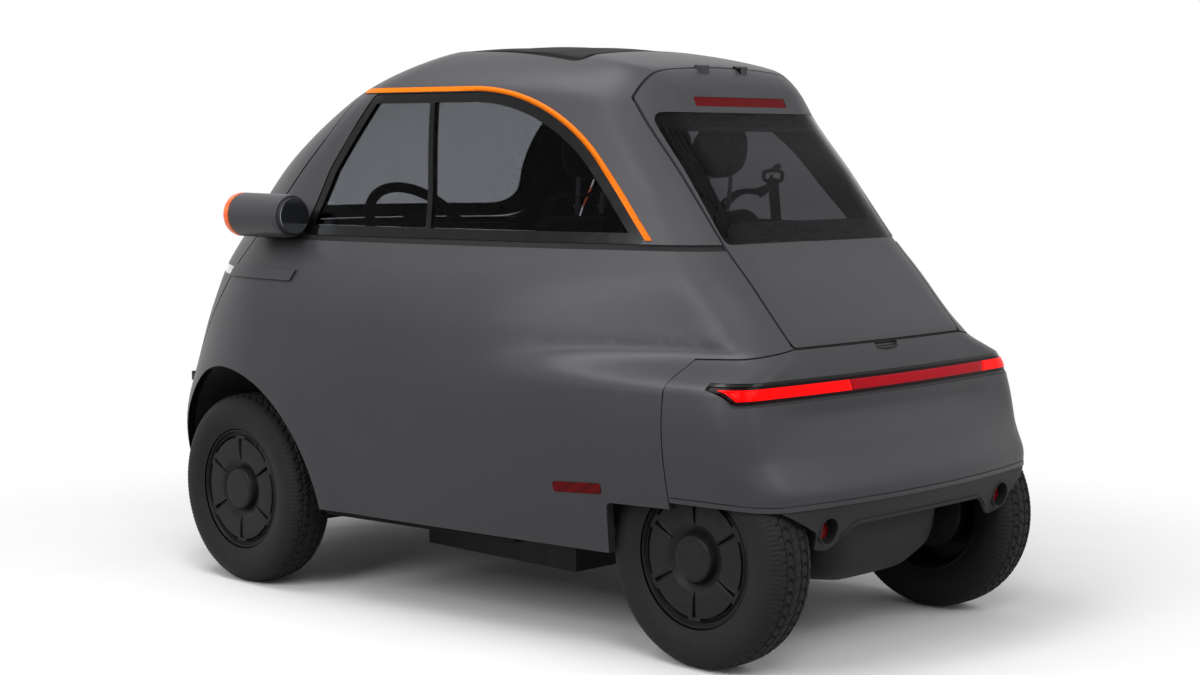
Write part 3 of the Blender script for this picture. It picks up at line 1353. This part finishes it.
class MICROCAR_OT_cabin(Operator):
    """Adds the steering wheel's grip and pad, instrument, pedals and mats"""
    bl_idname = "microcar.cabin"
    bl_label = "Cabin"

    def execute(self, context):
        facing = Vector((0, math.cos(STEERING_TILT), math.sin(STEERING_TILT)))
        across = Vector((1, 0, 0))
        upward = facing.cross(across).normalized()
        bm = bmesh.new()
        ring = []
        for k in range(96):
            a = 2 * math.pi * k / 96
            ring.append(STEERING_CENTRE + across * (STEERING_R * math.cos(a))
                        + upward * (STEERING_R * math.sin(a)))
        add_tube(bm, ring, 0.0146, 14, closed=True, up=facing)
        add_piece("steering_grip", bm, finish("rubber"), "steering_wheel")
        bm = bmesh.new()
        lean = Matrix(((1, 0, 0, 0), (0, upward.y, facing.y, 0), (0, upward.z, facing.z, 0), (0, 0, 0, 1)))
        add_block(bm, STEERING_CENTRE + facing * 0.016, (0.118, 0.092, 0.020), 0.009, turn=lean, segments=4)
        recess(bm, facing, 0.010, 0.003)
        add_piece("steering_pad", bm, finish("abs"), "steering_wheel")
        bm = bmesh.new()
        add_block(bm, Vector((0.30, -0.505, 0.935)), (0.19, 0.030, 0.085), 0.010,
                  turn=Matrix.Rotation(-0.5, 4, "X"), segments=4)
        recess(bm, Vector((0, math.cos(0.5), -math.sin(0.5))), 0.008, 0.004)
        add_piece("instrument_display", bm, finish("gloss"), "body")
        bm = bmesh.new()
        for x, wide in ((0.345, 0.048), (0.235, 0.075)):
            pad = Vector((x, -0.760, 0.345))
            turn = Matrix.Rotation(0.35, 4, "X")
            add_block(bm, pad, (wide, 0.012, 0.095), 0.004, turn=turn)
            for rise in (-0.028, 0.0, 0.028):
                ribs = [pad + turn @ Vector((k * (wide / 2 - 0.008), 0.006, rise)) for k in (-1, 0, 1)]
                add_tube(bm, ribs, 0.0025, 8)
            arm = [(x, -0.765, 0.35), (x, -0.80, 0.33), (x, -0.83, 0.26), (x, -0.835, 0.2475)]
            add_tube(bm, smooth_path(arm, 5), 0.008, 10)
        add_piece("pedals", bm, finish("abs"), "body")
        for side, label in ((1, "left"), (-1, "right")):
            low_x, high_x = (0.03, 0.23) if side > 0 else (-0.35, -0.03)
            self.mat("floor_mat_" + label, (low_x, high_x, 8), (-0.72, -0.26, 12), FLOOR_TOP, 0.006)
        self.mat("luggage_mat", (-0.40, 0.40, 16), (0.405, 0.955, 16), LUGGAGE_TOP, 0.005)
        return {"FINISHED"}

    def mat(self, name, across, along, floor, rise):
        """A mat whose edge lies on the floor. Across and along are low, high and number of steps."""
        low_x, high_x, steps_x = across
        low_y, high_y, steps_y = along
        rows = []
        for i in range(steps_y + 1):
            y = low_y + (high_y - low_y) * i / steps_y
            row = []
            for j in range(steps_x + 1):
                rim = i in (0, steps_y) or j in (0, steps_x)
                row.append((low_x + (high_x - low_x) * j / steps_x, y, floor if rim else floor + rise))
            rows.append(row)
        bm = bmesh.new()
        add_grid(bm, rows)
        add_piece(name, bm, finish("carpet"), "body")


class MICROCAR_OT_underbody(Operator):
    """Adds coil springs, brake drums and bolts to the axles"""
    bl_idname = "microcar.underbody"
    bl_label = "Underbody"

    def execute(self, context):
        bm = bmesh.new()
        for side in (-1, 1):
            path = []
            for k in range(16 * 6 + 1):
                a = 2 * math.pi * k / 16
                path.append(Vector((side * 0.350 + COIL_R * math.cos(a), 0.8965 + COIL_R * math.sin(a),
                                    0.300 + 0.245 * k / 96)))
            add_tube(bm, path, 0.0050, 8)
        add_piece("rear_coil_springs", bm, finish("zinc"), "body")
        for place_name, (side, centre) in WHEELS.items():
            body = "body" if place_name.startswith("rear") else "knuckle_" + place_name.split("_")[1]
            at = Matrix.Translation(centre) @ Matrix.Scale(side, 4, (1, 0, 0))
            bm = bmesh.new()
            drum = [(-0.044, 0.030), (-0.044, 0.098), (-0.040, 0.104), (-0.012, 0.104), (-0.010, 0.100),
                    (-0.010, 0.034)]
            add_lathe(bm, drum, at, 64)
            add_piece("brake_drum_" + place_name, bm, finish("chassis"), body)
        bm = bmesh.new()
        upright = Matrix.Rotation(math.radians(90), 4, "Y")
        for side in (-1, 1):
            for offset in (-0.018, 0.018):
                at = Matrix.Translation(Vector((side * 0.35 + offset, 0.445, 0.235))) @ upright
                add_lathe(bm, [(0.0, 0.0004), (0.0, 0.0075), (-0.006, 0.0085), (-0.006, 0.0004)], at, 6)
        add_piece("axle_bolts", bm, finish("zinc"), "body")
        return {"FINISHED"}


class MICROCAR_OT_stage(Operator):
    """Sets the pale floor, the soft lamps, the world and the camera"""
    bl_idname = "microcar.stage"
    bl_label = "Stage"

    def execute(self, context):
        scene = context.scene
        mesh = bpy.data.meshes.new("studio_floor")
        bm = bmesh.new()
        bmesh.ops.create_grid(bm, x_segments=4, y_segments=4, size=30.0)
        bm.to_mesh(mesh)
        bm.free()
        floor = bpy.data.objects.new("studio_floor", mesh)
        scene.collection.objects.link(floor)
        mesh.materials.append(self.floor_finish())
        self.world(scene)
        self.lamp("key_softbox", (1.6, -0.8, 5.4), (0.2, 0.1, 0.6), 2.8, 136.0)
        self.lamp("side_softbox", (5.2, 0.6, 3.4), (0.0, 0.0, 0.6), 2.4, 118.0)
        self.lamp("tail_softbox", (-1.0, 5.0, 3.6), (0.0, 0.4, 0.6), 2.6, 60.0)
        self.lamp("quarter_softbox", (3.0, 4.2, 4.6), (0.0, 0.4, 0.6), 2.6, 90.0)
        data = bpy.data.cameras.new("photo_camera")
        camera = bpy.data.objects.new("photo_camera", data)
        scene.collection.objects.link(camera)
        camera.location = (4.0330, 4.0595, 1.2212)
        camera.rotation_euler = (math.radians(90.0 - 5.327), 0.0, math.radians(180.0 - 45.866))
        data.lens = 60.97
        data.sensor_width = 36.0
        data.clip_end = 200.0
        scene.camera = camera
        scene.view_settings.view_transform = "Standard"
        return {"FINISHED"}

    def lamp(self, name, at, towards, size, power):
        """A square soft lamp that looks at a point; size in metres, power in watts."""
        data = bpy.data.lights.new(name, "AREA")
        data.shape = "SQUARE"
        data.size = size
        data.energy = power
        made = bpy.data.objects.new(name, data)
        bpy.context.scene.collection.objects.link(made)
        made.location = at
        made.rotation_euler = (Vector(towards) - Vector(at)).to_track_quat("-Z", "Y").to_euler()

    def world(self, scene):
        """White where the camera, gloss or glass sees it, and softer as a light."""
        world = bpy.data.worlds.new("studio")
        scene.world = world
        world.use_nodes = True
        tree = world.node_tree
        tree.nodes.clear()
        seen = rays_that_see(tree)
        light = add_node(tree, "ShaderNodeBackground", sockets={"Color": srgb("#FFFFFF"), "Strength": 0.38})
        white = add_node(tree, "ShaderNodeBackground", sockets={"Color": srgb("#FFFFFF"), "Strength": 1.0})
        mix = add_node(tree, "ShaderNodeMixShader",
                       links={0: (seen, "Value"), 1: (light, "Background"), 2: (white, "Background")})
        add_node(tree, "ShaderNodeOutputWorld", links={"Surface": (mix, "Shader")})

    def floor_finish(self):
        """Painted studio floor: pale, matt, and white where it runs out of the light."""
        made, tree, shader = new_finish("painted_studio_floor", {"Roughness": 0.9, "IOR": 1.4,
                                                                 "Specular IOR Level": 0.2})
        cloud = grain(tree, 700.0, detail=3.0)
        two_tones(tree, shader, cloud, "Fac", "#F4F4F4", "#FAFAFA")
        where = add_node(tree, "ShaderNodeTexCoord")
        away = add_node(tree, "ShaderNodeVectorMath", settings={"operation": "LENGTH"},
                        links={0: (where, "Object")})
        far = add_node(tree, "ShaderNodeMapRange", settings={"interpolation_type": "SMOOTHSTEP"},
                       sockets={"From Min": 1.0, "From Max": 2.7, "To Min": 0.0, "To Max": 1.0},
                       links={"Value": (away, "Value")})
        seen = rays_that_see(tree)
        dull = add_node(tree, "ShaderNodeBsdfDiffuse", sockets={"Color": srgb("#606060")})
        paint = add_node(tree, "ShaderNodeMixShader",
                         links={0: (seen, "Value"), 1: (dull, "BSDF"), 2: (shader, "BSDF")})
        amount = add_node(tree, "ShaderNodeMath", settings={"operation": "MULTIPLY"},
                          links={0: (far, "Result"), 1: (seen, "Value")})
        white = add_node(tree, "ShaderNodeEmission", sockets={"Color": srgb("#FFFFFF"), "Strength": 1.0})
        mix = add_node(tree, "ShaderNodeMixShader",
                       links={0: (amount, "Value"), 1: (paint, "Shader"), 2: (white, "Emission")})
        output = next(n for n in tree.nodes if n.type == "OUTPUT_MATERIAL")
        tree.links.new(mix.outputs["Shader"], output.inputs["Surface"])
        return made


class MICROCAR_PT_looks(Panel):
    """Lists the settings and the operators"""
    bl_label = "Microcar looks"
    bl_idname = "MICROCAR_PT_looks"
    bl_space_type = "VIEW_3D"
    bl_region_type = "UI"
    bl_category = "Microcar"

    def draw(self, context):
        layout = self.layout
        scene = context.scene
        layout.prop(scene.microcar_finish, "body_colour")
        layout.prop(scene.microcar_finish, "trim_colour")
        layout.prop(scene.microcar_wheels, "tread_depth")
        layout.prop(scene.microcar_wheels, "tread_pitches")
        layout.prop(scene.microcar_wheels, "cap_radius")
        layout.prop(scene.microcar_seat, "channel_depth")
        for operator in OPERATORS:
            layout.operator(operator.bl_idname)


OPERATORS = (
    MICROCAR_OT_finishes,
    MICROCAR_OT_tyres,
    MICROCAR_OT_wheel_covers,
    MICROCAR_OT_roof_cloth,
    MICROCAR_OT_seats,
    MICROCAR_OT_belts,
    MICROCAR_OT_lamps,
    MICROCAR_OT_glazing,
    MICROCAR_OT_trim,
    MICROCAR_OT_cabin,
    MICROCAR_OT_underbody,
    MICROCAR_OT_stage,
)
SETTINGS = (MicrocarFinishSettings, MicrocarWheelSettings, MicrocarSeatSettings)


def register():
    for cls in SETTINGS + OPERATORS + (MICROCAR_PT_looks,):
        bpy.utils.register_class(cls)
    bpy.types.Scene.microcar_finish = PointerProperty(type=MicrocarFinishSettings)
    bpy.types.Scene.microcar_wheels = PointerProperty(type=MicrocarWheelSettings)
    bpy.types.Scene.microcar_seat = PointerProperty(type=MicrocarSeatSettings)


def unregister():
    del bpy.types.Scene.microcar_seat
    del bpy.types.Scene.microcar_wheels
    del bpy.types.Scene.microcar_finish
    for cls in reversed(SETTINGS + OPERATORS + (MICROCAR_PT_looks,)):
        bpy.utils.unregister_class(cls)


def main():
    register()
    bpy.ops.microcar.finishes()
    bpy.ops.microcar.tyres()
    bpy.ops.microcar.wheel_covers()
    bpy.ops.microcar.roof_cloth()
    bpy.ops.microcar.seats()
    bpy.ops.microcar.belts()
    bpy.ops.microcar.lamps()
    bpy.ops.microcar.glazing()
    bpy.ops.microcar.trim()
    bpy.ops.microcar.cabin()
    bpy.ops.microcar.underbody()
    bpy.ops.microcar.stage()


if __name__ == "__main__":
    main()
